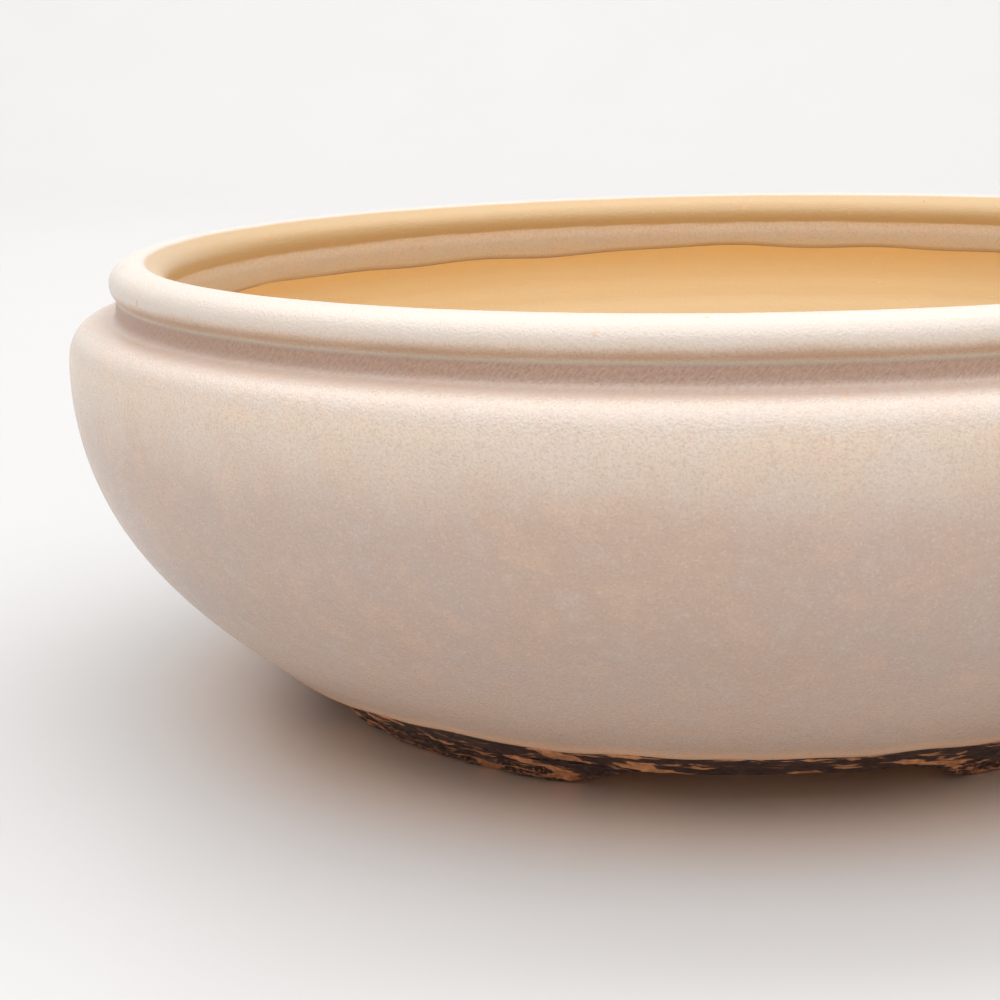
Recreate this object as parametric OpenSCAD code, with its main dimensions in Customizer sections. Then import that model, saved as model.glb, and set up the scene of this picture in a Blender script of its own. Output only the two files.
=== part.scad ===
// Round bonsai pot: a closed, bellied stoneware bowl on three low feet.
// Millimetres, +Z up. The origin is on the table, under the centre of the pot.
// The front, seen across one gap between the feet, faces -Y.

/* [Bowl] */
// Outer diameter at the belly, over the glaze
belly_d = 180; // [176:1:188]
// Height from the table to the crest of the rim
pot_h = 60.4; // [58:0.2:63]
// Depth of the belly line below the crest of the rim
belly_drop = 13.3; // [12.5:0.1:14.5]
// Thickness of the clay wall at the belly
wall_t = 6.5; // [5.5:0.5:7.5]
// Thickness of the glaze
glaze_t = 0.7; // [0.5:0.1:0.8]

/* [Rim] */
// Diameter of the circle along the crest of the rim
crest_d = 160.4; // [156:0.2:162]
// Width of the clay roll that makes the rim
roll_w = 6.8; // [6:0.1:7.2]
// Height of the roll above its widest line
roll_rise = 2.6; // [2:0.1:3]

/* [Base] */
// Diameter of the ring of feet, where it meets the table
foot_ring_d = 112.2; // [108:0.2:116]
// Height of the feet, which is the height of the gaps between them
foot_h = 4; // [3.5:0.1:4.5]
// Radial width of a foot on the table
foot_w = 9; // [7:0.5:10]
// Arc of the table that each foot covers, in degrees
foot_arc = 68; // [60:1:72]
// Thickness of the floor
floor_t = 6.5; // [6:0.5:7]
// Diameter of the unglazed base, where the glaze stops
base_d = 127.6; // [125:0.2:130]

/* [Drainage] */
// Diameter of a drain hole
drain_d = 15; // [14:0.5:16]
// Distance of the drain holes from the centre
drain_r = 26; // [25:0.5:27]
// Diameter of a hole for a tie wire
tie_d = 4; // [3:0.5:5]
// Distance of the tie holes from the centre
tie_r = 41; // [40:0.5:42]
// Spacing of the two tie holes of a pair
tie_gap = 18; // [16:1:20]

/* [Screens] */
// Pitch of the square mesh
mesh_pitch = 3; // [2.8:0.1:3.2]
// Width of one strand of the mesh
strand_w = 0.9; // [0.8:0.1:1]
// Thickness of the mesh
mesh_t = 1.2; // [1:0.1:1.4]
// Diameter of the clip wire
wire_d = 1.6; // [1.4:0.1:1.6]

/* [Hidden] */
$fn = 144;

clay = [0.72, 0.48, 0.30];
bare_clay = [0.88, 0.66, 0.40];
stained_clay = [0.30, 0.22, 0.18];
cream_glaze = [0.90, 0.84, 0.77];
black_plastic = [0.08, 0.08, 0.09];
wire_metal = [0.70, 0.70, 0.72];

// Directions of the feet and of the gaps, counted from +X
foot_turn = [-150, -30, 90];
gap_turn = [-90, 150, 30];

// Heights and radii of the clay, under the glaze
belly_r = belly_d / 2 - glaze_t;
belly_z = pot_h - belly_drop;
crest_r = crest_d / 2;
roll_z = pot_h - glaze_t - roll_rise;   // widest line of the rim roll
roll_under = 2.35;                      // depth of the roll below that line
neck_z = roll_z - 1.9;                  // flat joint between the wall and the roll
neck_out_r = crest_r + 2.6;             // outside of the short upright neck under the roll
neck_in_r = crest_r - 2;
ledge_z = neck_z - 3;                   // top of the shoulder, at the foot of the neck
cove_r = 0.9;                           // hollow between the shoulder and the neck
floor_z = foot_h + floor_t;
seat_z = foot_h + 3.1;                  // step on which the wall stands
seat_r = base_d / 2;
seat_in_r = seat_r - 6.8;
foot_r = foot_ring_d / 2;
slab_r = foot_r + (seat_r - foot_r) * foot_h / seat_z;
lip_steps = 5;                          // where the glaze stops inside, of 10 steps to the belly line

// Slopes of the wall where it leaves the base, outside and inside
out_slope = 35;
in_slope = 30;

// Points along a cubic curve
function cubic(a, b, c, d, n) = [
    for (i = [0 : n])
        let (t = i / n, s = 1 - t)
            s * s * s * a + 3 * s * s * t * b + 3 * s * t * t * c + t * t * t * d
];

// From the base up to the belly: the wall leaves the base at a slope and ends upright
function flank(foot, slope, top, n) = let (rise = top.y - foot.y)
    cubic(foot, foot + 0.448 * rise * [cos(slope), sin(slope)], top - [0, 0.474 * rise], top, n);

// Outside of the pot, moved outwards by t: 0 is the clay and glaze_t the glaze
function outside(t) = let (top = [neck_out_r + cove_r, ledge_z] + [t, t]) concat(
    flank([seat_r, seat_z] + t * [sin(out_slope), -cos(out_slope)], out_slope, [belly_r + t, belly_z], 20),
    cubic([belly_r + t, belly_z + 0.4], [belly_r + t, belly_z + 3.6], [belly_r - 1.1 + t, top.y], top, 10),
    [for (q = [30 : 30 : 90]) top + cove_r * [-sin(q), 1 - cos(q)]],
    [[neck_out_r + t, neck_z + t]]);

// Rim roll, from its outer crease over the crest to its inner edge. It is squarer above, outside.
function roll(t) = [
    for (q = [-30 : 15 : 210])
        let (square = q > 0 && q < 90 ? 0.8 : 1, rise = sin(q) > 0 ? roll_rise + t : roll_under - t)
        [crest_r, roll_z]
        + [sign(cos(q)) * (roll_w / 2 + t) * pow(abs(cos(q)), square),
           sign(sin(q)) * rise * pow(abs(sin(q)), square)]
];

// Inside of the wall, from the rim roll down past the neck, as the first of 10 steps to the belly line
function inside_top(t, steps) = let (
    curve = cubic([neck_in_r - t, neck_z], [neck_in_r + 0.2 - t, neck_z - 2.8],
                  [belly_r - wall_t - t, belly_z + 3.5], [belly_r - wall_t - t, belly_z], 10))
    [for (i = [0 : steps]) curve[i]];

// Floor with its drain and tie holes, and a step round the edge for the wall
module base_slab() {
    color(stained_clay)
    difference() {
        rotate_extrude()
            polygon([[0, foot_h], [slab_r, foot_h], [seat_r, seat_z], [seat_in_r, seat_z],
                     [seat_in_r, floor_z], [0, floor_z]]);
        for (turn = gap_turn)
            rotate([0, 0, turn]) translate([drain_r, 0, 0]) cylinder(h = 2 * floor_z, d = drain_d);
        for (turn = foot_turn, side = [-1, 1])
            rotate([0, 0, turn]) translate([tie_r, side * tie_gap / 2, 0])
                cylinder(h = 2 * floor_z, d = tie_d);
    }
}

// Thrown wall, standing on the step of the slab
module bowl_wall() {
    climb = flank([seat_in_r, floor_z], in_slope, [belly_r - wall_t, belly_z], 20);
    color(bare_clay)
    rotate_extrude()
        polygon(concat([[seat_in_r, seat_z]], outside(0), inside_top(0, 9),
                       [for (i = [len(climb) - 1 : -1 : 0]) climb[i]]));
}

// Rolled rim, luted to the top of the wall
module rim_roll() {
    color(clay)
    rotate_extrude()
        polygon(concat([[neck_out_r, neck_z]], roll(0), [[neck_in_r, neck_z]]));
}

// Curved bar under the edge of the slab, cut to a long slope at each end
module foot(turn) {
    end_run = 11;
    end_turn = end_run / foot_r * 180 / PI;
    half_arc = foot_arc / 2 + 0.87 * end_turn;
    color(stained_clay)
    rotate([0, 0, turn])
    difference() {
        rotate([0, 0, -half_arc])
        rotate_extrude(angle = 2 * half_arc)
            polygon([[foot_r - foot_w, 0], [foot_r, 0], [slab_r, foot_h], [foot_r - foot_w - 1, foot_h]]);
        for (side = [0, 1])
            mirror([0, side, 0]) rotate([0, 0, foot_arc / 2]) rotate([atan(foot_h / end_run), 0, 0])
                translate([foot_r - 2 * foot_w, 0, -foot_h])
                    cube([3 * foot_w, 2 * end_run, foot_h]);
    }
}

// Glass coat over the wall and the rim, ending in a thick edge above the base and inside the lip
module glaze_coat() {
    back = concat(outside(0), roll(0), inside_top(0, lip_steps));
    color(cream_glaze)
    rotate_extrude()
        polygon(concat(outside(glaze_t), roll(glaze_t), inside_top(glaze_t, lip_steps),
                       [for (i = [len(back) - 1 : -1 : 0]) back[i]]));
}

// Puts a drain's screen or clip over its hole
module at_drain(turn) {
    translate([drain_r * cos(turn), drain_r * sin(turn), floor_z]) children();
}

// Square of plastic mesh that lies over a drain hole
module screen() {
    reach = 4;
    width = (2 * reach + 1) * mesh_pitch + strand_w;
    open_w = mesh_pitch - strand_w;
    color(black_plastic)
    linear_extrude(mesh_t)
    difference() {
        square(width, center = true);
        for (i = [-reach : reach], j = [-reach : reach])
            translate([i * mesh_pitch, j * mesh_pitch]) square(open_w, center = true);
    }
}

// A straight length of the clip wire along +X
module wire(length) {
    rotate([0, 90, 0]) cylinder(h = length, d = wire_d, $fn = 32);
}

// A bend of the clip wire: it starts along +X and turns left
module bend(radius, angle) {
    translate([0, radius, 0]) rotate([0, 0, -90])
        rotate_extrude(angle = angle) translate([radius, 0]) circle(d = wire_d, $fn = 32);
}

// Half of the clip. Its centre strand lies across the mesh between the two legs, turns into a flat
// loop, and the leg at the end of the loop goes down the drain and out under the floor.
module half_clip() {
    loop_r = mesh_pitch;
    loop_x = 3 * mesh_pitch;
    leg_bend = 1.4;
    leg_x = mesh_pitch + leg_bend;
    drop = mesh_t + floor_t + wire_d;
    rotate([0, 0, -90]) wire(loop_r);
    translate([0, -loop_r, 0]) rotate([0, 0, -90]) bend(loop_r, 90);
    translate([loop_r, -2 * loop_r, 0]) wire(loop_x - loop_r);
    translate([loop_x, -2 * loop_r, 0]) bend(loop_r, 180);
    translate([leg_x, 0, 0]) wire(loop_x - leg_x);
    translate([leg_x, 0, 0]) rotate([-90, 0, 180]) bend(leg_bend, 90);
    translate([mesh_pitch, 0, leg_bend - drop]) cylinder(h = drop - 2 * leg_bend, d = wire_d, $fn = 32);
    translate([leg_x, 0, -drop]) rotate([90, 0, 180]) bend(leg_bend, 90);
    translate([leg_x, 0, -drop]) wire(loop_x - mesh_pitch);
}

// Bent wire that holds a screen down against its hole
module clip() {
    color(wire_metal)
    translate([0, 0, mesh_t + wire_d / 2]) {
        half_clip();
        rotate([0, 0, 180]) half_clip();
    }
}

base_slab();
bowl_wall();
rim_roll();
foot(foot_turn[0]);  // front_left_foot
foot(foot_turn[1]);  // front_right_foot
foot(foot_turn[2]);  // rear_foot
glaze_coat();
at_drain(gap_turn[0]) screen();  // front_screen
at_drain(gap_turn[1]) screen();  // rear_left_screen
at_drain(gap_turn[2]) screen();  // rear_right_screen
at_drain(gap_turn[0]) clip();  // front_clip
at_drain(gap_turn[1]) clip();  // rear_left_clip
at_drain(gap_turn[2]) clip();  // rear_right_clip
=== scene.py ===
"""A round bonsai pot: a thrown stoneware bowl with a rolled rim, cream glaze and three low feet."""
import math

import bmesh
import bpy
import numpy as np
from mathutils import Matrix, Vector, noise


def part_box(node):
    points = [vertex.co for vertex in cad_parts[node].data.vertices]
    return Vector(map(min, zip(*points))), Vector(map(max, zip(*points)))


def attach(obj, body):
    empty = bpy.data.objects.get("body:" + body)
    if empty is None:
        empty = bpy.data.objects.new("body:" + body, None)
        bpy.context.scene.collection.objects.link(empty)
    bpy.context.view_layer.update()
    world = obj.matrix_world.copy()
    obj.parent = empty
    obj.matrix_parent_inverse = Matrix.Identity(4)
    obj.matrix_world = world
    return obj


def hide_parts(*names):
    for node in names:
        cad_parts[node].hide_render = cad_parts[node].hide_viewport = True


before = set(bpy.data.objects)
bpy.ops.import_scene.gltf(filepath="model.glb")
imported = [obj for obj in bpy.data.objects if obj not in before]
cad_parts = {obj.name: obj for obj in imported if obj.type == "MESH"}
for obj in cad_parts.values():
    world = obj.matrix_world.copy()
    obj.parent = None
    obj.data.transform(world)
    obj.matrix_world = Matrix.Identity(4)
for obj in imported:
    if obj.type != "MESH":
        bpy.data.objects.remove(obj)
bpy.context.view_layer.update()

scene = bpy.context.scene
mm = 0.001


# ---- Camera -------------------------------------------------------------------------------------
# It stands in front of the pot and a little to the left, about 9 cm above the table, and looks
# down into the bowl.
camera_data = bpy.data.cameras.new("camera")
camera_data.lens = 78.2
camera_data.sensor_width = 36
camera_data.clip_start = 0.01
camera_place = (-0.0278, -0.2999, 0.0889)
camera_pan = 0.0151                     # radians, to the left
camera_drop = 0.2124                    # radians, below the level
camera_roll = -0.0246
camera = bpy.data.objects.new("camera", camera_data)
camera.matrix_world = (
    Matrix.Translation(camera_place)
    @ Matrix.Rotation(camera_pan, 4, "Z")
    @ Matrix.Rotation(math.pi / 2 - camera_drop, 4, "X")
    @ Matrix.Rotation(camera_roll, 4, "Z")
)
scene.collection.objects.link(camera)
scene.camera = camera


# ---- Clay wall ----------------------------------------------------------------------------------
# The bowl's wall, thrown on the wheel from buff stoneware and left bare inside. It stands on a step
# round the edge of the base slab. The wheel leaves a shallow spiral of throwing rings on it.
class Flow:
    """One output of a node. Sums and products of these add Math nodes to the same tree."""

    def __init__(self, tree, socket=None):
        self.tree = tree
        self.socket = socket

    def node(self, kind, settings=None, inputs=None, output=0):
        """Adds a node: its settings come first, then the values or links of its sockets."""
        new = self.tree.nodes.new(kind)
        for key, value in (settings or {}).items():
            setattr(new, key, value)
        for key, value in (inputs or {}).items():
            self.join(new, key, value)
        return Flow(self.tree, new.outputs[output])

    def join(self, node, key, value):
        """Links a value to a node's socket, or sets it there if it is a plain number."""
        if isinstance(value, Flow):
            self.tree.links.new(value.socket, node.inputs[key])
        else:
            node.inputs[key].default_value = value

    def math(self, operation, *others):
        return self.node("ShaderNodeMath", {"operation": operation}, dict(enumerate([self, *others])))

    def part(self, axis):
        """The X, Y or Z of a vector."""
        return self.node("ShaderNodeSeparateXYZ", None, {0: self}, axis)

    def vector(self, x, y, z):
        """A vector in the same tree, from three numbers or outputs."""
        return self.node("ShaderNodeCombineXYZ", None, {0: x, 1: y, 2: z})

    def length(self):
        """The length of a vector."""
        return self.node("ShaderNodeVectorMath", {"operation": "LENGTH"}, {0: self}, "Value")

    def turn(self):
        """The direction of a place round the pot's axis, in radians."""
        return self.node("ShaderNodeMath", {"operation": "ARCTAN2"},
                         {0: self.part(1), 1: self.part(0)})

    def ease(self, low, high):
        """0 below low, 1 above high, and smooth between them."""
        return self.node("ShaderNodeMapRange", {"interpolation_type": "SMOOTHSTEP"},
                         {"Value": self, "From Min": low, "From Max": high})

    def grain(self, size, detail=2.0, rough=0.5, bend=0.0):
        """Noise from 0 to 1 whose blotches are about as wide as size, in metres."""
        return self.node("ShaderNodeTexNoise", None,
                         {"Vector": self, "Scale": 1 / size, "Detail": detail, "Roughness": rough,
                          "Distortion": bend}, "Fac")

    def stretch(self, x, y, z):
        """The same place with its axes scaled."""
        return self.node("ShaderNodeVectorMath", {"operation": "MULTIPLY"}, {0: self, 1: (x, y, z)})

    def mix(self, first, second):
        """Goes from the first colour to the second as this number goes from 0 to 1."""
        return self.node("ShaderNodeMix", {"data_type": "RGBA"}, {0: self, 6: first, 7: second}, 2)

    def bump(self, height, strength):
        """A Normal output for a height in metres."""
        return self.node("ShaderNodeBump", None,
                         {"Height": height, "Strength": strength, "Distance": 1.0})

    def __add__(self, other):
        return self.math("ADD", other)

    def __sub__(self, other):
        return self.math("SUBTRACT", other)

    def __rsub__(self, other):
        return self.node("ShaderNodeMath", {"operation": "SUBTRACT"}, {0: other, 1: self})

    def __mul__(self, other):
        return self.math("MULTIPLY", other)

    def __truediv__(self, other):
        return self.math("DIVIDE", other)

    __radd__ = __add__
    __rmul__ = __mul__


def new_material(name):
    """A material, its Principled shader and the place on the object as a Flow."""
    material = bpy.data.materials.new(name)
    material.use_nodes = True
    tree = material.node_tree
    shader = tree.nodes["Principled BSDF"]
    place = Flow(tree, tree.nodes.new("ShaderNodeTexCoord").outputs["Object"])
    return material, shader, place


def dots(place, spacing, radius, seed):
    """A mask of small round dots, one in each cell of about the given spacing, some of them missing."""
    moved = place.node("ShaderNodeVectorMath", {"operation": "ADD"}, {0: place, 1: (seed, seed, seed)})
    cell = {"Vector": moved, "Scale": 1 / spacing, "Randomness": 1.0}
    gap = place.node("ShaderNodeTexVoronoi", None, cell, "Distance")
    draw = place.node("ShaderNodeTexVoronoi", None, cell, "Color").part(0)
    return (1 - gap.ease(0.5 * radius / spacing, radius / spacing)) * draw.ease(0.45, 0.55)


def outline_points(*stretches):
    """One list of (radius, height) points from several, without doubles where they meet."""
    points = np.vstack(stretches)
    step = np.linalg.norm(np.diff(points, axis=0), axis=1)
    return points[np.append(True, step > 1e-6)]


def cubic(a, b, c, d, count):
    """Points along a cubic curve, as (radius, height)."""
    t = np.linspace(0, 1, count)[:, None]
    a, b, c, d = map(np.array, (a, b, c, d))
    return (1 - t) ** 3 * a + 3 * (1 - t) ** 2 * t * b + 3 * (1 - t) * t**2 * c + t**3 * d


def arc(centre, radius, first, last, count):
    """Points along a circle from one angle to another, in degrees."""
    q = np.radians(np.linspace(first, last, count))
    return np.array(centre) + np.stack([radius * np.cos(q), radius * np.sin(q)], 1)


def wheel_tree():
    """Geometry nodes that turn an outline round the pot's axis, as the potter's wheel does."""
    tree = bpy.data.node_groups.new("turned_on_the_wheel", "GeometryNodeTree")
    for name, kind, way in (("Outline", "Geometry", "INPUT"), ("Turns", "Int", "INPUT"),
                            ("Steps", "Int", "INPUT"), ("Ring Height", "Float", "INPUT"),
                            ("Ring Pitch", "Float", "INPUT"), ("Unevenness", "Float", "INPUT"),
                            ("Clay", "Material", "INPUT"), ("Geometry", "Geometry", "OUTPUT")):
        tree.interface.new_socket(name, in_out=way, socket_type="NodeSocket" + kind)
    given = tree.nodes.new("NodeGroupInput")
    ask = {socket.name: Flow(tree, socket) for socket in given.outputs if socket.name}
    start = Flow(tree)
    profile = start.node("GeometryNodeMeshToCurve", None, {"Mesh": ask["Outline"]})
    grid = start.node("GeometryNodeMeshGrid", None,
                      {"Size X": 1.0, "Size Y": 1.0, "Vertices X": ask["Turns"] + 1,
                       "Vertices Y": ask["Steps"] + 1}, "Mesh")
    where = start.node("GeometryNodeInputPosition")
    along = start.node("GeometryNodeSampleCurve", {"mode": "FACTOR"},
                       {"Curves": profile, "Factor": where.part(1) + 0.5}, "Position")
    turn = (where.part(0) + 0.5) * (2 * math.pi)
    placed = start.node("ShaderNodeVectorRotate", {"rotation_type": "Z_AXIS"},
                        {"Vector": along, "Angle": turn})
    turned = start.node("GeometryNodeSetPosition", None, {"Geometry": grid, "Position": placed})
    shut = start.node("GeometryNodeMergeByDistance", None, {"Geometry": turned, "Distance": 1e-6})
    spot = start.node("GeometryNodeInputPosition")
    path = (spot.part(2) + spot.length()) * (2 * math.pi) / ask["Ring Pitch"]
    ring = (path + spot.turn()).math("SINE") * ask["Ring Height"]
    lumps = (spot.grain(lump_w, 3.0) - 0.5) * ask["Unevenness"]
    push = start.node("ShaderNodeVectorMath", {"operation": "SCALE"},
                      {0: start.node("GeometryNodeInputNormal"), "Scale": ring + lumps})
    uneven = start.node("GeometryNodeSetPosition", None, {"Geometry": shut, "Offset": push})
    smooth = start.node("GeometryNodeSetShadeSmooth", None, {"Geometry": uneven})
    real = start.node("GeometryNodeRealizeInstances", None, {"Geometry": smooth})
    done = start.node("GeometryNodeSetMaterial", None, {"Geometry": real, "Material": ask["Clay"]})
    result = tree.nodes.new("NodeGroupOutput")
    start.join(result, 0, done)
    return tree


def from_tree(name, points, edges, tree, **inputs):
    """Runs a tree on an object made of points and edges, and keeps the result as a plain mesh."""
    mesh = bpy.data.meshes.new(name)
    mesh.from_pydata([tuple(p) for p in points], edges, [])
    base = bpy.data.objects.new(name + "_base", mesh)
    scene.collection.objects.link(base)
    modifier = base.modifiers.new("tree", "NODES")
    modifier.node_group = tree
    for item in tree.interface.items_tree:
        wanted = inputs.get(item.name.lower().replace(" ", "_"))
        if item.in_out == "INPUT" and wanted is not None:
            modifier[item.identifier] = wanted
    base.update_tag()
    graph = bpy.context.evaluated_depsgraph_get()
    made = bpy.data.meshes.new_from_object(base.evaluated_get(graph))
    base.modifiers.remove(modifier)
    bpy.data.objects.remove(base)
    made.name = name
    piece = bpy.data.objects.new(name, made)
    scene.collection.objects.link(piece)
    face_outwards(piece)
    return piece


def face_outwards(piece):
    """Turns every face of a closed piece outwards."""
    shape = bmesh.new()
    shape.from_mesh(piece.data)
    bmesh.ops.recalc_face_normals(shape, faces=shape.faces)
    shape.to_mesh(piece.data)
    shape.free()


def stands_for(piece, node):
    """The piece rides on the pot's one body and takes the node's place."""
    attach(piece, "root")
    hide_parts(node)


def turned(name, points, closed, material, turns, steps, ring_height=0.0, unevenness=0.0):
    """A turned piece from the outline of one side, given as (radius, height) points."""
    count = len(points)
    edges = [(i, (i + 1) % count) for i in range(count if closed else count - 1)]
    return from_tree(name, [(r, 0, z) for r, z in points], edges, wheel, turns=turns, steps=steps,
                     ring_height=ring_height, ring_pitch=ring_pitch, unevenness=unevenness, clay=material)


def fired_colour(place):
    """The bare clay's colour, brown low down, then pale, and orange under the glaze, and its patches."""
    height = place.part(2)
    patches = place.grain(14 * mm, 4.0, 0.6)
    brown, pale = (0.60, 0.42, 0.25, 1), (0.86, 0.71, 0.47, 1)
    orange, sand = (0.88, 0.60, 0.28, 1), (0.82, 0.63, 0.40, 1)
    low = height.ease(8 * mm, 32 * mm).mix(brown, pale)
    base = height.ease(34 * mm, 52 * mm).mix(low, orange)
    return (patches.ease(0.35, 0.75) * 0.30).mix(base, sand), patches


def bare_clay():
    """Buff stoneware that blushed orange in the kiln, most of all just under the glaze."""
    material, shader, place = new_material("bare_clay")
    worn, patches = fired_colour(place)
    grog = dots(place, 2.6 * mm, 0.35 * mm, 3.1)
    iron = dots(place, 9 * mm, 0.22 * mm, 7.7)
    white_grit, iron_brown = (0.90, 0.78, 0.60, 1), (0.22, 0.11, 0.06, 1)
    gritty = (grog * 0.25).mix(worn, white_grit)
    place.join(shader, "Base Color", (iron * 0.7).mix(gritty, iron_brown))
    place.join(shader, "Roughness", 0.72 + patches * 0.16)
    relief = place.grain(0.5 * mm, 3.0, 0.6) * (0.10 * mm) + grog * (0.08 * mm)
    streaks = place.stretch(0.2, 0.2, 2.0).grain(1.4 * mm, 2.0) * (0.12 * mm)
    place.join(shader, "Normal", place.bump(relief + streaks, 0.7))
    return material


ring_pitch = 5.5 * mm                   # spacing of the throwing rings
lump_w = 22 * mm                        # size of the wall's slow unevenness
wheel = wheel_tree()
clay = bare_clay()

wall_low, wall_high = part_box("bowl_wall")
roll_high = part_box("rim_roll")[1]
coat_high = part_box("glaze_coat")[1]
slab_low, slab_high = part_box("base_slab")
glaze = coat_high.x - wall_high.x       # thickness of the glaze coat
belly_r = wall_high.x
belly_drop = 13.3 * mm                  # from the top of the rim down to the widest place
belly_z = coat_high.z - belly_drop
seat_r = slab_high.x                    # step of the slab on which the wall stands
seat_z = wall_low.z
seat_w = 6.8 * mm
seat_in_r = seat_r - seat_w
floor_z = slab_high.z
neck_z = wall_high.z                    # top of the wall, under the roll
neck_set_in = 0.8 * mm                  # the roll stands out this far past the neck
lip_w = 5.4 * mm                        # from the outside of the roll to the inside of the neck
neck_out_r = roll_high.x - neck_set_in
neck_in_r = roll_high.x - lip_w
wall_t = 6.5 * mm
wall_in_r = belly_r - wall_t
ledge_z = 52.2 * mm                     # top of the shoulder, where the short neck begins
cove_r = 0.9 * mm                       # the rounded corner between the shoulder and the neck
flank_slope = 35                        # degrees, where the outside leaves the base
edge_out, edge_down = 0.574, 0.819      # the direction square to that slope


def flank(foot, slope, top, count):
    """From the base up to the belly: it leaves the base at a slope and ends upright."""
    foot, top = np.array(foot), np.array(top)
    rise = top[1] - foot[1]
    lean = np.array([math.cos(math.radians(slope)), math.sin(math.radians(slope))])
    low_pull, high_pull = 0.448 * rise, 0.474 * rise
    return cubic(foot, foot + low_pull * lean, top - [0, high_pull], top, count)


def outside(t):
    """Outside of the wall from the base to the crease under the roll, moved outwards by t."""
    foot = (seat_r + edge_out * t, seat_z - edge_down * t)
    low = flank(foot, flank_slope, (belly_r + t, belly_z), 110)
    top = (neck_out_r + t + cove_r, ledge_z + t)
    shoulder_pull, ledge_pull = 3.6 * mm, 1.1 * mm
    shoulder = cubic((belly_r + t, belly_z), (belly_r + t, belly_z + shoulder_pull),
                     (belly_r - ledge_pull + t, top[1]), top, 44)
    cove = arc((top[0], top[1] + cove_r), cove_r, 270, 180, 10)
    neck = np.array([[neck_out_r + t, z] for z in np.linspace(cove[-1][1], neck_z + 0.3 * mm, 6)])
    return outline_points(low, shoulder, cove, neck)


def inside_top(t):
    """Inside of the wall from the roll down past the neck to the belly line."""
    flare, neck_pull, belly_pull = 0.2 * mm, 2.8 * mm, 3.5 * mm
    return cubic((neck_in_r - t, neck_z), (neck_in_r + flare - t, neck_z - neck_pull),
                 (wall_in_r - t, belly_z + belly_pull), (wall_in_r - t, belly_z), 40)


inner_slope = 30
climb = flank((seat_in_r, floor_z), inner_slope, (wall_in_r, belly_z), 60)
wall_outline = outline_points([[seat_in_r, seat_z]], outside(0), [[neck_out_r, neck_z]],
                              inside_top(0)[:-1], climb[::-1])
wall = turned("clay_wall", wall_outline, True, clay, turns=300, steps=300, ring_height=0.08 * mm,
              unevenness=0.5 * mm)
stands_for(wall, "bowl_wall")


# ---- Rim roll -----------------------------------------------------------------------------------
# A coil of the same clay, luted to the top of the wall and rounded over with a wet cloth. It stands
# out a little past the neck, and its outer side is squarer than its inner one.
roll_w = 6.8 * mm
roll_rise = 2.6 * mm                    # from its widest place to its crest
roll_under = 2.35 * mm                  # from its widest place down to its lowest
roll_r = roll_high.x - roll_w / 2
roll_z = roll_high.z - roll_rise
outer_crease, inner_arris = -30, 210    # degrees round its section, where it meets the neck
crest_square = 0.8                      # below 1, the outer quarter is squarer than an ellipse


def over_roll(t, first, last, count):
    """Section of the roll between two angles over its crest, in degrees, moved outwards by t."""
    q = np.radians(np.linspace(first, last, count))
    square = np.where((q > 0) & (q < math.pi / 2), crest_square, 1.0)
    up = np.where(np.sin(q) > 0, roll_rise + t, roll_under - t)
    across = np.sign(np.cos(q)) * np.abs(np.cos(q)) ** square
    rise = np.sign(np.sin(q)) * np.abs(np.sin(q)) ** square
    return np.stack([roll_r + (roll_w / 2 + t) * across, roll_z + up * rise], 1)


roll_outline = outline_points([[neck_in_r, neck_z], [neck_out_r, neck_z]],
                              over_roll(0, outer_crease, inner_arris, 60))
rim = turned("rolled_rim", roll_outline, True, clay, turns=300, steps=60, unevenness=0.15 * mm)
stands_for(rim, "rim_roll")


# ---- Base slab ----------------------------------------------------------------------------------
# The floor, beaten from a slab, with three drain holes in a ring and three pairs of tie holes. Its edge
# and the feet are brushed with a dark iron slip, which broke up and left bare patches of clay.
def section_mesh(name, grid, material, cap_ends=False):
    """A skin over a grid of points: rows go round the section, columns along the piece."""
    rows, columns = grid.shape[:2]
    faces = []
    last = columns - 1 if cap_ends else columns
    for i in range(rows):
        k = (i + 1) % rows
        for j in range(last):
            n = (j + 1) % columns
            faces.append((i * columns + j, i * columns + n, k * columns + n, k * columns + j))
    if cap_ends:
        faces.append(tuple(i * columns for i in range(rows)))
        faces.append(tuple(i * columns + columns - 1 for i in reversed(range(rows))))
    mesh = bpy.data.meshes.new(name)
    mesh.from_pydata(grid.reshape(-1, 3).tolist(), [], faces)
    mesh.materials.append(material)
    mesh.shade_smooth()
    piece = bpy.data.objects.new(name, mesh)
    scene.collection.objects.link(piece)
    face_outwards(piece)
    return piece


def torn(x, y, z):
    """Relief of the beaten, torn edge, in metres: long diagonal flakes with a finer tear over them."""
    turn = math.atan2(y, x)
    flakes = noise.noise(Vector((turn * 16 + z / (3.2 * mm), z / (2.2 * mm), 0.4)))
    tear = noise.noise(Vector((turn * 60, z / (0.9 * mm), 5.3)))
    fine = noise.noise(Vector((x, y, z)) / (0.5 * mm))
    return (0.65 * max(flakes, -0.5) + 0.40 * tear + 0.22 * fine) * mm


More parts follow.
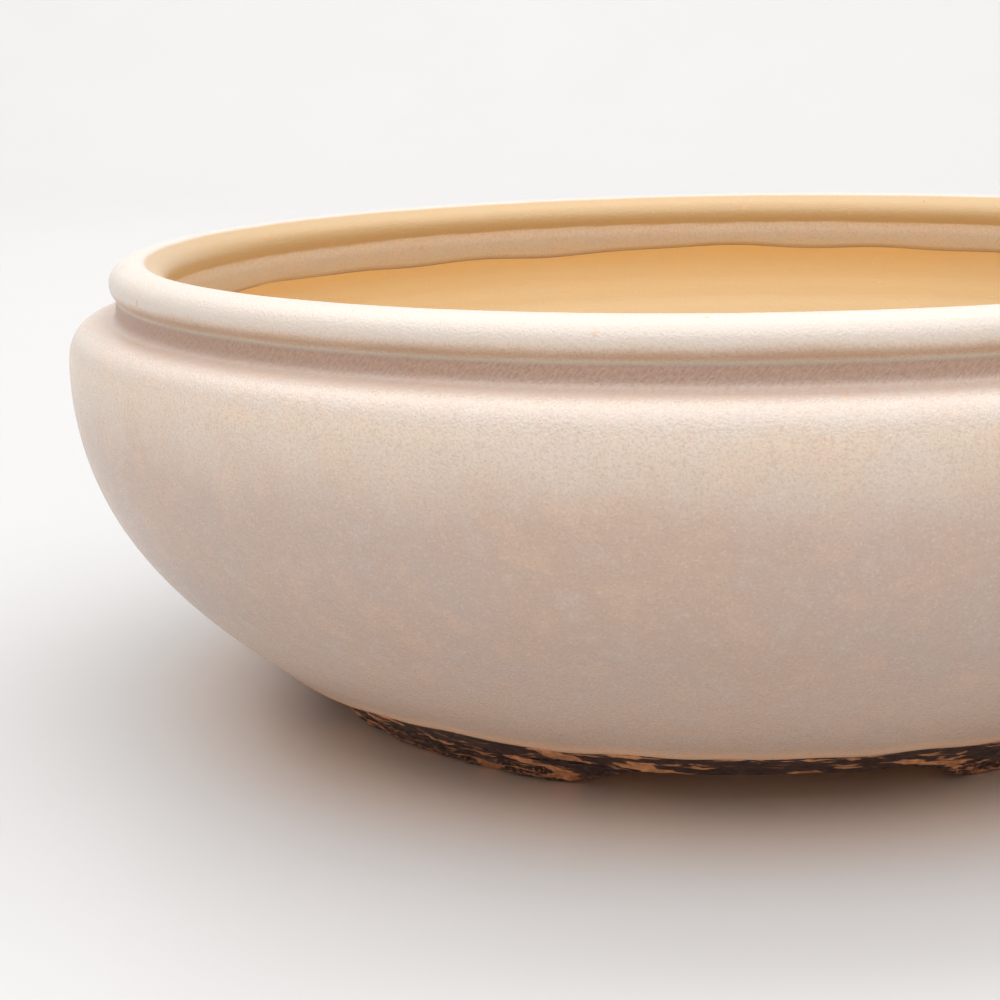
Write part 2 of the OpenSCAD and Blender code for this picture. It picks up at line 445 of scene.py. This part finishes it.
def iron_slip():
    """Dark iron slip over buff clay: glossy where it lies thick, gone in lens-shaped patches."""
    material, shader, place = new_material("iron_slip")
    height = place.part(2)
    lean = place.turn() * band_r + height * 1.3
    lens = place.vector(lean * 0.33, height * 1.2, 0.0).grain(2.6 * mm, 3.0, 0.55).ease(0.555, 0.585)
    lines = place.vector(lean * 0.10, height, 0.7).grain(0.5 * mm, 3.0).ease(0.57, 0.62)
    near_ground = 1 - height.ease(1.2 * mm, 3.2 * mm)
    torn_bits = place.grain(0.55 * mm, 2.0, 0.6).ease(0.56, 0.60) * near_ground
    bare = lens + (1 - lens) * (lines * 0.85).math("MAXIMUM", torn_bits * 0.9)
    streak = place.vector(lean, height * 0.5, 0.3).grain(1.1 * mm, 3.0)
    black, brown = (0.014, 0.008, 0.012, 1), (0.070, 0.036, 0.036, 1)
    rust, orange, buff = (0.44, 0.19, 0.09, 1), (0.92, 0.44, 0.20, 1), (0.84, 0.50, 0.26, 1)
    slip_colour = streak.ease(0.45, 0.80).mix(black, brown)
    bare_colour = place.grain(1.2 * mm, 3.0).ease(0.25, 0.75).mix(rust, orange)
    edge = height * ((seat_r - foot_r) / seat_z) + foot_r
    outer = (place.stretch(1, 1, 0).length() - edge).ease(-2.6 * mm, -1.6 * mm)
    slip = outer * (1 - bare) * (0.92 + 0.08 * streak)
    fired = (1 - height.ease(3 * mm, 6 * mm)).mix(fired_colour(place)[0], buff)
    place.join(shader, "Base Color", slip.mix(outer.mix(fired, bare_colour), slip_colour))
    place.join(shader, "Roughness", 0.78 - slip * 0.50 + streak * 0.10)
    relief = place.grain(0.45 * mm, 4.0, 0.6) * (0.16 * mm) + slip * (0.12 * mm) + streak * (0.2 * mm)
    place.join(shader, "Normal", place.bump(relief, 0.8))
    return material


def roughen(piece, least_r, most_z):
    """Pushes the outer edge of a turned piece in and out with the torn relief."""
    for vertex in piece.data.vertices:
        x, y, z = vertex.co
        r = math.hypot(x, y)
        if r > least_r and z < most_z:
            share = min((r - least_r) / mm, 1) * min((most_z - z) / (0.6 * mm), 1)
            grow = 1 + share * torn(x, y, z) / r
            vertex.co = (x * grow, y * grow, z)


foot_r = 56.1 * mm                      # outer foot of the sloping, slipped edge
slab_r = 60.4 * mm                      # the same edge at the underside of the slab
band_r = 58 * mm                        # about the middle of the slipped edge
torn_from_r = 57.5 * mm
slip_finish = iron_slip()
slab_outline = outline_points([[0, slab_low.z], [slab_r, slab_low.z], [seat_r, seat_z],
                               [seat_in_r, seat_z], [seat_in_r, floor_z], [0, floor_z]])
slab = turned("base_slab_of_clay", slab_outline, False, slip_finish, turns=360, steps=230,
              unevenness=0.12 * mm)
roughen(slab, torn_from_r, seat_z)

gap_turns = (-90, 150, 30)              # directions of the gaps between the feet, counted from +X
foot_turns = (-150, -30, 90)
drain_r = 26 * mm                       # from the pot's axis to the middle of each drain hole
drain_hole_r = 7.5 * mm
tie_r = 41 * mm                         # from the axis to each pair of tie holes
tie_gap = 18 * mm
tie_hole_r = 2 * mm
drill_length = 20 * mm


def hole_places():
    """(x, y, radius) of the drain holes and the tie holes."""
    for turn in gap_turns:
        q = math.radians(turn)
        yield drain_r * math.cos(q), drain_r * math.sin(q), drain_hole_r
    for turn in foot_turns:
        q = math.radians(turn)
        for side in (-tie_gap / 2, tie_gap / 2):
            x = tie_r * math.cos(q) - side * math.sin(q)
            y = tie_r * math.sin(q) + side * math.cos(q)
            yield x, y, tie_hole_r


def pierce(piece):
    """Cuts every hole through the slab."""
    cutter = bmesh.new()
    for x, y, radius in hole_places():
        place = Matrix.Translation((x, y, floor_z - 3 * mm))
        bmesh.ops.create_cone(cutter, cap_ends=True, segments=64, radius1=radius, radius2=radius,
                              depth=drill_length, matrix=place)
    mesh = bpy.data.meshes.new("drill")
    cutter.to_mesh(mesh)
    cutter.free()
    drill = bpy.data.objects.new("drill", mesh)
    scene.collection.objects.link(drill)
    cut = piece.modifiers.new("holes", "BOOLEAN")
    cut.operation = "DIFFERENCE"
    cut.solver = "EXACT"
    cut.object = drill
    graph = bpy.context.evaluated_depsgraph_get()
    made = bpy.data.meshes.new_from_object(piece.evaluated_get(graph))
    piece.modifiers.remove(cut)
    piece.data = made
    bpy.data.objects.remove(drill)


pierce(slab)
stands_for(slab, "base_slab")


# ---- Feet ---------------------------------------------------------------------------------------
# Three low bars of the same clay, bent along the edge of the slab and luted under it. Their ends are
# pinched to a slope, and their outer side carries on the slab's torn and slipped edge.
foot_w = 9 * mm
foot_h = slab_low.z
foot_arc = 68                           # degrees of full height
end_run = 11 * mm                       # length of the slope at each end
lap = 0.1 * mm                          # how far a foot is pressed into the slab
ground_bevel = 0.35 * mm


def foot_grid(turn):
    """Points round the section of a foot, for many places along its bar."""
    flat = math.radians(foot_arc / 2)
    half = flat + 0.93 * end_run / foot_r
    inner_r = foot_r - foot_w
    up = np.linspace(0, 1, 15)
    across = np.linspace(0, 1, 12)[1:-1]
    columns = []
    for q in np.linspace(-half, half, 260):
        over = max(abs(q) - flat, 0) * foot_r / end_run
        low = foot_h * (over * over * (3 - 2 * over) if over < 1 else 1) * 0.99
        tall = foot_h + lap - low
        angle = q + math.radians(turn)
        outer = [(foot_r + (slab_r - foot_r) * (low + tall * u) / foot_h, low + tall * u) for u in up]
        top = [(slab_r + (inner_r - slab_r) * u, foot_h + lap) for u in across]
        inner = [(inner_r, foot_h + lap - tall * u) for u in up[::2]]
        base = [(inner_r + (outer[0][0] - inner_r) * u, low) for u in across]
        ring = []
        for k, (r, z) in enumerate(outer + top + inner + base):
            x, y = r * math.cos(angle), r * math.sin(angle)
            if k < len(outer):
                r += torn(x, y, z)
            if k == 0:
                chip = 0.5 * mm * max(noise.noise(Vector((x, y, 3)) / (4 * mm)), 0)
                r = r - ground_bevel - chip
                z += 0.25 * mm * max(noise.noise(Vector((x, y, 9)) / (3 * mm)) - 0.1, 0)
            ring.append((r * math.cos(angle), r * math.sin(angle), z))
        columns.append(ring)
    return np.array(columns).transpose(1, 0, 2)


for name, turn in zip(("front_left", "front_right", "rear"), foot_turns):
    foot = section_mesh(name + "_clay_foot", foot_grid(turn), slip_finish, cap_ends=True)
    stands_for(foot, name + "_foot")


# ---- Glaze coat ---------------------------------------------------------------------------------
# Cream feldspar glaze, poured over the wall and the rim and melted to a glass coat. It runs thin over
# the roll, pools in the crease, and ends in a rolled, wavy bead above the base and inside the lip.
around = 432                            # columns of faces round the pot
row_step = 0.62 * mm
low_bead = 1.1 * mm                     # width of the rounded edge above the base
top_bead = 2.4 * mm                     # width of the one inside the lip
under_clay = 0.05 * mm                  # the back of the coat lies this far inside the clay
drag_r = 88 * mm                        # scales the rubbed pattern round the neck


def coat_path(t):
    """The glazed line from the base over the rim into the bowl, at thickness t over the clay."""
    return np.vstack([outside(t), over_roll(t, outer_crease, inner_arris, 84), inside_top(t)])


def even_steps(path, spacing):
    """Fractional indices along a path, so that steps on it are as long as spacing says."""
    length = np.append(0, np.cumsum(np.linalg.norm(np.diff(path, axis=0), axis=1)))
    count = int(length[-1] / spacing)
    return np.interp(np.linspace(0, length[-1], count), length, np.arange(len(path))), length[-1]


def at_index(path, index):
    """The points of a path at fractional indices."""
    base = np.arange(len(path))
    return np.stack([np.interp(index, base, path[:, 0]), np.interp(index, base, path[:, 1])], -1)


def in_direction(points, turn):
    """(radius, height) points as places on one side of the pot."""
    return np.stack([points[:, 0] * math.cos(turn), points[:, 0] * math.sin(turn), points[:, 1]], 1)


def ripple(angles, waves, seed):
    """A smooth closed wave round the pot, as a sum of sines with random phases, from -1 to 1."""
    draw = np.random.default_rng(seed)
    total = np.zeros_like(angles)
    weight = 0
    for count in waves:
        share = 1 / math.sqrt(count)
        total += share * np.sin(count * angles + draw.uniform(0, 2 * math.pi))
        weight += share
    return total / weight * 1.6


def run_off(outer):
    """The share of the coat that ran off the roll, at its outer side and from its crest inwards."""
    across, up = outer[:, 0] - roll_r, outer[:, 1] - roll_z
    over = np.degrees(np.arctan2(up, across))
    inwards = np.where(over < -90, over + 360, over)
    outer_side = 0.40 * np.exp(-((over + 12) / 16) ** 2)
    inner_side = 0.62 / (1 + np.exp(-(inwards - 104) / 5)) / (1 + np.exp((inwards - 201) / 3))
    on_roll = np.hypot(across, up) < 4.4 * mm
    return np.where(on_roll, np.maximum(outer_side, inner_side), 0)


def glaze_mesh(name, material):
    """The coat as a closed shell, with its depth over the clay kept on each vertex."""
    bare, full = coat_path(0), coat_path(glaze)
    index, whole = even_steps(full, row_step)
    steps = len(index)
    turns = np.linspace(0, 2 * math.pi, around, endpoint=False)
    low_wave = ripple(turns, waves=(3, 5, 9, 14, 23, 37), seed=9475)
    low_edge = np.clip(1.5 + 1.5 * low_wave, 0, None) * mm
    top_edge = (4.4 + 1.2 * ripple(turns, waves=(2, 3, 7, 13, 22), seed=11)) * mm
    grid, depth, halo = [], [], []
    for j, turn in enumerate(turns):
        share = np.linspace(0, 1, steps)
        first = low_edge[j] / whole
        last = 1 - top_edge[j] / whole
        at = first + (last - first) * share
        spot = np.interp(at, np.linspace(0, 1, steps), index)
        inner, outer = at_index(bare, spot), at_index(full, spot)
        run = (at - first) * whole
        rest = (last - at) * whole
        edge = np.minimum(run / low_bead, rest / top_bead).clip(0, 1)
        bead = np.sqrt(1 - (1 - edge) ** 2)
        low_swell = 0.35 * np.exp(-((run - 1.2 * mm) / (1.0 * mm)) ** 2)
        top_swell = 0.10 * np.exp(-((rest - top_bead) / (1.1 * mm)) ** 2)
        thick = bead * (1 + low_swell + top_swell) * (1 - run_off(outer))
        point = inner + (outer - inner) * thick[:, None]
        depth.append(thick)
        halo.append(np.exp(-(run / (2.8 * mm)) ** 2))
        grid.append(in_direction(point, turn))
    grid = np.array(grid).transpose(1, 0, 2)
    depth, halo = np.array(depth).T, np.array(halo).T
    for i in range(3, steps - 3):
        for j in range(around):
            p = Vector(grid[i, j])
            wave = 0.6 * noise.noise(p / (9 * mm)) + 0.4 * noise.noise(p / (3.5 * mm))
            slow = noise.noise(p / (30 * mm) + Vector((4, 1, 7)))
            depth[i, j] *= 1 + 0.12 * wave + 0.10 * slow
            out = Vector((p.x, p.y, 0)).normalized() * (0.05 * wave + 0.10 * slow) * mm
            grid[i, j] += out
    back_rows = np.linspace(steps - 1, 0, 70)
    back = []
    for j, turn in enumerate(turns):
        at = low_edge[j] / whole + (1 - (top_edge[j] + low_edge[j]) / whole) * back_rows / (steps - 1)
        spot = np.interp(at, np.linspace(0, 1, steps), index)
        inner = at_index(bare, spot) - [under_clay, 0.0]
        back.append(in_direction(inner, turn))
    back = np.array(back).transpose(1, 0, 2)
    piece = section_mesh(name, np.vstack([grid, back]), material)
    for title, values in (("glaze_depth", depth), ("edge_halo", halo)):
        layer = piece.data.attributes.new(title, "FLOAT", "POINT")
        layer.data.foreach_set("value", np.append(values.ravel(), np.zeros(back.shape[0] * around)))
    return piece


def cream_glaze():
    """Cream glass with painted light and shade: pale above, darker below, lighter at the foot, greyer on
    the shoulder and whiter on the crest. It is ochre where it ran thin, and brown in the rubbed neck,
    where painted shade darkens it further under the roll.
    """
    material, shader, place = new_material("cream_glaze")
    depth = place.node("ShaderNodeAttribute", {"attribute_name": "glaze_depth"}, None, "Fac")
    halo = place.node("ShaderNodeAttribute", {"attribute_name": "edge_halo"}, None, "Fac")
    height = place.part(2)
    outer = place.stretch(1, 1, 0).length().ease(80 * mm, 81 * mm)
    cloud = place.grain(15 * mm, 3.0, 0.55)
    fleck = place.grain(5 * mm, 4.0, 0.7)
    mottle = place.grain(1.1 * mm, 3.0, 0.65)
    tiny = place.grain(0.30 * mm, 2.0, 0.6)
    speck = place.grain(0.40 * mm, 1.0, 0.5)

    # The poured coat, with painted light and shade: pale cream above and fawn below, lighter at the foot
    # with painted bounce light from the floor, and greyer on the shoulder with painted shade that dims
    # its highlight.
    shaded_fawn, shaded_grey_fawn = (0.580, 0.425, 0.335, 1), (0.560, 0.428, 0.358, 1)
    cream, cool_cream = (0.770, 0.628, 0.500, 1), (0.745, 0.630, 0.530, 1)
    sandy_floor_bounce, shoulder_painted_shade = (0.740, 0.575, 0.470, 1), (0.640, 0.555, 0.490, 1)
    # Painted light and shade: the glaze is paler higher up and darker lower down.
    painted_top_light = (height + (cloud - 0.5) * (8 * mm)).ease(37 * mm, 49.5 * mm)
    lower = cloud.ease(0.35, 0.65).mix(shaded_fawn, shaded_grey_fawn)
    upper = cloud.ease(0.35, 0.65).mix(cream, cool_cream)
    poured = painted_top_light.mix(lower, upper)
    # Painted bounce light: the glaze is lighter towards the foot, as if lit from the floor.
    floor_bounce_at_foot = (1 - height.ease(9 * mm, 26 * mm)).mix(poured, sandy_floor_bounce)
    # Painted shade: the shoulder is greyer where its highlight falls, which dims the highlight.
    shoulder = height.ease(48.5 * mm, 51.0 * mm) * (1 - height.ease(53.5 * mm, 55.0 * mm))
    body = (shoulder * 0.85).mix(floor_bounce_at_foot, shoulder_painted_shade)

    # Its grain: warm and cool flecks, a brown mottle, and fine dark and light specks.
    peach, pearl, brown = (0.84, 0.57, 0.40, 1), (0.72, 0.66, 0.62, 1), (0.62, 0.40, 0.31, 1)
    dark_grain, light_grain = (0.50, 0.37, 0.29, 1), (0.86, 0.76, 0.67, 1)
    blush = (fleck.ease(0.45, 0.75) * 0.30).mix(body, peach)
    cool = ((1 - fleck.ease(0.25, 0.50)) * 0.25).mix(blush, pearl)
    mottled = (mottle.ease(0.50, 0.72) * 0.22).mix(cool, brown)
    grained = ((1 - tiny.ease(0.25, 0.60)) * 0.42).mix(mottled, dark_grain)
    lit = (speck.ease(0.50, 0.80) * 0.18).mix(grained, light_grain)

    # The rim: whiter on its crest, a painted highlight, and ochre or gold where the coat ran thin.
    bone_painted_highlight, ochre, gold = (0.690, 0.618, 0.552, 1), (0.50, 0.30, 0.17, 1), (0.53, 0.335, 0.135, 1)
    # Painted highlight: the crest of the roll is whiter.
    crest = height.ease(56.5 * mm, 58.5 * mm) * 0.8
    thin = 1 - (depth + (tiny - 0.5) * 0.14).ease(0.55, 0.95)
    crest_painted_highlight = crest.mix(lit, bone_painted_highlight)
    ochred = (thin * outer * 0.75).mix(crest_painted_highlight, ochre)
    gilded = (thin * (1 - outer) * 0.92).mix(ochred, gold)

    # The lower edge glows orange. The neck was rubbed while wet, which browns it, and painted shade
    # darkens it further, most towards the roll above; the crease above it pools.
    orange, umber_and_painted_shade, moss = (0.90, 0.53, 0.30, 1), (0.39, 0.23, 0.165, 1), (0.50, 0.48, 0.40, 1)
    edged = (halo * (0.62 + fleck * 0.5)).mix(gilded, orange)
    neck = height.ease(51.8 * mm, 54.0 * mm) * (1 - height.ease(55.4 * mm, 56.0 * mm)) * outer
    along = place.turn() * drag_r
    drag = place.vector((along + height) * 0.4, along - height, 0.0).grain(0.4 * mm, 3.0)
    # Painted shade: the neck darkens towards the roll above it.
    painted_roll_shade = height.ease(53.2 * mm, 54.6 * mm) * neck
    rubbed_and_shaded = neck * (0.54 + painted_roll_shade * 0.20 + 0.22 * (1 - drag.ease(0.30, 0.65)))
    neck_rubbed_and_shaded = rubbed_and_shaded.mix(edged, umber_and_painted_shade)
    pool = height.ease(55.2 * mm, 55.6 * mm) * (1 - height.ease(55.8 * mm, 56.2 * mm)) * outer
    pooled = (pool * 0.35).mix(neck_rubbed_and_shaded, moss)

    # Rust spots round the shoulder, fine freckles, and a few pinholes.
    rust_colour, hole_colour = (0.74, 0.38, 0.14, 1), (0.12, 0.07, 0.06, 1)
    rust = dots(place, 6 * mm, 0.60 * mm, 1.7) * height.ease(48 * mm, 52 * mm)
    freckles = dots(place, 2.4 * mm, 0.17 * mm, 2.3)
    spots = (rust * 0.55 + freckles * 0.4).mix(pooled, rust_colour)
    pin = dots(place, 17 * mm, 0.20 * mm, 4.9)
    place.join(shader, "Base Color", (pin * 0.85).mix(spots, hole_colour))
    place.join(shader, "Roughness", 0.20 + tiny * 0.10 + neck * 0.15)
    shader.inputs["IOR"].default_value = 1.55
    peel = place.grain(1.6 * mm, 2.0, 0.5) * (0.10 * mm) + tiny * (0.17 * mm) + neck * drag * (0.09 * mm)
    place.join(shader, "Normal", place.bump(peel - pin * (0.1 * mm), 0.6))
    return material


coat = glaze_mesh("glaze_skin", cream_glaze())
stands_for(coat, "glaze_coat")


# ---- Drain screens ------------------------------------------------------------------------------
# Squares cut from black plastic netting, one over each drain hole, so that the soil stays in. Two
# layers of strands cross, and are fused where they meet.
mesh_pitch = 3 * mm
strand_w = 0.9 * mm
mesh_t = 1.2 * mm
strands = 10                            # each way
floor_gap = 0.05 * mm                   # under the netting
drain_names = ("front", "rear_left", "rear_right")


def netting_tree():
    """Geometry nodes for one square of netting: crossing strands that are thicker where they join."""
    tree = bpy.data.node_groups.new("netting", "GeometryNodeTree")
    for name, kind, way in (("Points", "Geometry", "INPUT"), ("Strands", "Int", "INPUT"),
                            ("Pitch", "Float", "INPUT"), ("Strand Width", "Float", "INPUT"),
                            ("Thickness", "Float", "INPUT"), ("Plastic", "Material", "INPUT"),
                            ("Geometry", "Geometry", "OUTPUT")):
        tree.interface.new_socket(name, in_out=way, socket_type="NodeSocket" + kind)
    given = tree.nodes.new("NodeGroupInput")
    ask = {socket.name: Flow(tree, socket) for socket in given.outputs if socket.name}
    start = Flow(tree)
    span = (ask["Strands"] - 1) * ask["Pitch"]
    points_a_mesh = 8
    knots = (ask["Strands"] - 1) * points_a_mesh + 1

    def layer(way, drop):
        rod = start.node("GeometryNodeCurvePrimitiveLine", None,
                         {"Start": start.vector(span * -0.5 - ask["Strand Width"] * 0.5, 0.0, 0.0),
                          "End": start.vector(span * 0.5 + ask["Strand Width"] * 0.5, 0.0, 0.0)})
        dotted = start.node("GeometryNodeResampleCurve", None, {"Curve": rod, "Count": knots})
        section = start.node("GeometryNodeCurvePrimitiveCircle", {"mode": "RADIUS"},
                             {"Resolution": 10, "Radius": 0.5}, "Curve")
        wave = start.node("GeometryNodeInputPosition").part(0) * (2 * math.pi) / ask["Pitch"]
        swell = (wave + math.pi).math("COSINE") * 0.10 + 0.90
        tube = start.node("GeometryNodeCurveToMesh", None,
                          {"Curve": dotted, "Profile Curve": section, "Fill Caps": True,
                           "Scale": swell * ask["Strand Width"]})
        row = start.node("GeometryNodeMeshLine", {"mode": "OFFSET"},
                         {"Count": ask["Strands"], "Start Location": start.vector(0.0, span * -0.5, drop),
                          "Offset": start.vector(0.0, ask["Pitch"], 0.0)})
        placed = start.node("GeometryNodeInstanceOnPoints", None, {"Points": row, "Instance": tube})
        return start.node("GeometryNodeTransform", None,
                          {"Geometry": placed, "Rotation": (0.0, 0.0, way)})

    gap = (ask["Thickness"] - ask["Strand Width"]) * 0.5
    both = start.node("GeometryNodeJoinGeometry")
    joined = both.socket.node
    for way, drop in ((0.0, gap), (math.pi / 2, gap * -1.0)):
        tree.links.new(layer(way, drop).socket, joined.inputs[0])
    spread = start.node("GeometryNodeInstanceOnPoints", None, {"Points": ask["Points"], "Instance": both})
    real = start.node("GeometryNodeRealizeInstances", None, {"Geometry": spread})
    smooth = start.node("GeometryNodeSetShadeSmooth", None, {"Geometry": real})
    done = start.node("GeometryNodeSetMaterial", None, {"Geometry": smooth, "Material": ask["Plastic"]})
    result = tree.nodes.new("NodeGroupOutput")
    start.join(result, 0, done)
    return tree


def netting_plastic():
    """Black polythene, scuffed along the strands and dusted with clay."""
    material, shader, place = new_material("netting_plastic")
    dust = place.grain(4 * mm, 4.0, 0.65).ease(0.5, 0.8)
    scuff = place.stretch(1, 0.2, 1).grain(0.5 * mm, 3.0)
    black, grey, clay_dust = (0.012, 0.012, 0.013, 1), (0.035, 0.035, 0.037, 1), (0.22, 0.16, 0.11, 1)
    scuffed = scuff.mix(black, grey)
    place.join(shader, "Base Color", (dust * 0.25).mix(scuffed, clay_dust))
    place.join(shader, "Roughness", 0.42 + dust * 0.3)
    place.join(shader, "Normal", place.bump(scuff * (0.04 * mm), 0.6))
    return material


netting = netting_tree()
plastic = netting_plastic()
for name, turn in zip(drain_names, gap_turns):
    q = math.radians(turn)
    centre = (drain_r * math.cos(q), drain_r * math.sin(q), floor_z + mesh_t / 2 + floor_gap)
    screen = from_tree(name + "_netting", [centre], [], netting, strands=strands, pitch=mesh_pitch,
                       strand_width=strand_w, thickness=mesh_t, plastic=plastic)
    stands_for(screen, name + "_screen")


# ---- Clips --------------------------------------------------------------------------------------
# Soft aluminium wire bent into a flat S. Its two legs go down through the netting and the drain hole
# and are bent outwards under the floor, which holds the netting down.
wire_d = 1.6 * mm
loop_r = mesh_pitch                     # so that both legs go down through meshes of the netting
loop_x = 3 * mesh_pitch
leg_bend = 1.4 * mm                     # radius of the bends into and out of each leg


def bend(centre, first_way, second_way, radius, angle, count=14):
    """Points of a bend about a centre, from the first way round towards the second."""
    q = np.radians(np.linspace(0, angle, count))[:, None]
    first, second = np.array(first_way, float), np.array(second_way, float)
    return np.array(centre) + radius * (np.cos(q) * first + np.sin(q) * second)


def half_clip():
    """Middle line of half a clip, from the middle of its centre strand to the end of one leg."""
    drop = mesh_t + slab_high.z - slab_low.z + wire_d
    return np.vstack([
        [[0, 0, 0]],
        bend((loop_r, -loop_r, 0), (-1, 0, 0), (0, -1, 0), loop_r, 90),
        bend((loop_x, -loop_r, 0), (0, -1, 0), (1, 0, 0), loop_r, 180, 26),
        bend((loop_r + leg_bend, 0, -leg_bend), (0, 0, 1), (-1, 0, 0), leg_bend, 90),
        bend((loop_r + leg_bend, 0, leg_bend - drop), (-1, 0, 0), (0, 0, -1), leg_bend, 90),
        [[loop_x + leg_bend, 0, -drop]],
    ])


def clip_wire():
    """Soft drawn aluminium, with fine lines along it from the die and a dull bloom."""
    material, shader, place = new_material("clip_aluminium")
    bloom = place.grain(3 * mm, 4.0, 0.6)
    lines = place.grain(0.3 * mm, 2.0)
    bright, dull = (0.78, 0.78, 0.80, 1), (0.60, 0.60, 0.61, 1)
    place.join(shader, "Base Color", bloom.mix(bright, dull))
    shader.inputs["Metallic"].default_value = 1.0
    place.join(shader, "Roughness", 0.30 + bloom * 0.18)
    place.join(shader, "Normal", place.bump(lines * (0.03 * mm), 0.5))
    return material


def wire_mesh(name, points, material):
    """A round wire along a line of points, with closed ends."""
    curve = bpy.data.curves.new(name, "CURVE")
    curve.dimensions = "3D"
    curve.bevel_depth = wire_d / 2
    curve.bevel_resolution = 5
    curve.use_fill_caps = True
    line = curve.splines.new("POLY")
    line.points.add(len(points) - 1)
    line.points.foreach_set("co", np.hstack([points, np.ones((len(points), 1))]).ravel())
    holder = bpy.data.objects.new(name + "_line", curve)
    scene.collection.objects.link(holder)
    graph = bpy.context.evaluated_depsgraph_get()
    mesh = bpy.data.meshes.new_from_object(holder.evaluated_get(graph))
    bpy.data.objects.remove(holder)
    mesh.materials.clear()
    mesh.materials.append(material)
    mesh.shade_smooth()
    piece = bpy.data.objects.new(name, mesh)
    scene.collection.objects.link(piece)
    shape = bmesh.new()
    shape.from_mesh(mesh)
    bmesh.ops.remove_doubles(shape, verts=shape.verts, dist=1e-6)
    shape.to_mesh(mesh)
    shape.free()
    face_outwards(piece)
    return piece


aluminium = clip_wire()
one = half_clip()
other = one[1:] * (-1, -1, 1)
for name, turn in zip(drain_names, gap_turns):
    q = math.radians(turn)
    origin = np.array([drain_r * math.cos(q), drain_r * math.sin(q), floor_z + mesh_t + wire_d / 2])
    line = np.vstack([other[::-1], one]) + origin
    clip = wire_mesh(name + "_wire_clip", line, aluminium)
    stands_for(clip, name + "_clip")


# ---- Floor, backdrop and light ------------------------------------------------------------------
# A plain pale table that sweeps up behind, with a painted warm tint under the pot that stands in for
# light bounced off the clay into its shade. Two wide softboxes hang overhead, the brighter one in front,
# and a third light brightens the backdrop.
def sweep():
    """A pale sheet that lies flat and curves up far behind the pot."""
    line = [(-1.6, 0), (0, 0)] + [(0.9 + 0.5 * math.sin(q), 0.5 - 0.5 * math.cos(q))
                          for q in np.radians(np.linspace(0, 90, 16))] + [(1.4, 1.8)]
    grid = np.array([[(x, y, z) for x in (-2.4, 2.4)] for y, z in line])
    mesh = bpy.data.meshes.new("pale_sweep")
    faces = [(2 * i, 2 * i + 1, 2 * i + 3, 2 * i + 2) for i in range(len(line) - 1)]
    mesh.from_pydata(grid.reshape(-1, 3).tolist(), [], faces)
    mesh.shade_smooth()
    material, shader, place = new_material("pale_paper")
    mottle = place.grain(60 * mm, 2.0)
    grey, paler, warm = (0.57, 0.570, 0.572, 1), (0.59, 0.590, 0.592, 1), (0.74, 0.585, 0.48, 1)
    # Painted bounce light: a warm tint on the floor under the pot, fading outwards, stands in for light
    # bounced off the clay into the pot's shade.
    under = 1 - place.length().ease(54 * mm, 90 * mm)
    place.join(shader, "Base Color", (under * 0.9).mix(mottle.mix(grey, paler), warm))
    place.join(shader, "Roughness", 0.38 + mottle * 0.05)
    mesh.materials.append(material)
    piece = bpy.data.objects.new("pale_sweep", mesh)
    scene.collection.objects.link(piece)


def soft_light(name, place, aim, width, depth, radiance, colour):
    """A rectangular soft light whose brightness is given per unit of its face."""
    data = bpy.data.lights.new(name, "AREA")
    data.shape = "RECTANGLE"
    data.size, data.size_y = width, depth
    data.energy = radiance * math.pi * width * depth
    data.color = colour
    lamp = bpy.data.objects.new(name, data)
    lamp.location = place
    lamp.rotation_euler = (Vector(aim) - Vector(place)).to_track_quat("-Z", "Y").to_euler()
    scene.collection.objects.link(lamp)


sweep()
soft_light("softbox_in_front", place=(0, -0.72, 1.1), aim=(0, -0.72, 0), width=2.4, depth=1.42,
           radiance=1.9, colour=(0.95, 0.975, 1.0))
soft_light("softbox_behind", place=(0, 0.65, 1.1), aim=(0, 0.65, 0), width=2.4, depth=1.2,
           radiance=0.95, colour=(1, 0.985, 0.96))
soft_light("backdrop_light", place=(0, 0.55, 1.5), aim=(0, 1.5, 0.5), width=2.6, depth=0.8,
           radiance=2.5, colour=(0.96, 0.98, 1.0))
world = bpy.data.worlds.new("room")
world.use_nodes = True
background = world.node_tree.nodes["Background"]
background.inputs["Color"].default_value = (1.0, 0.935, 0.89, 1)
background.inputs["Strength"].default_value = 0.60
scene.world = world
scene.view_settings.view_transform = "Standard"
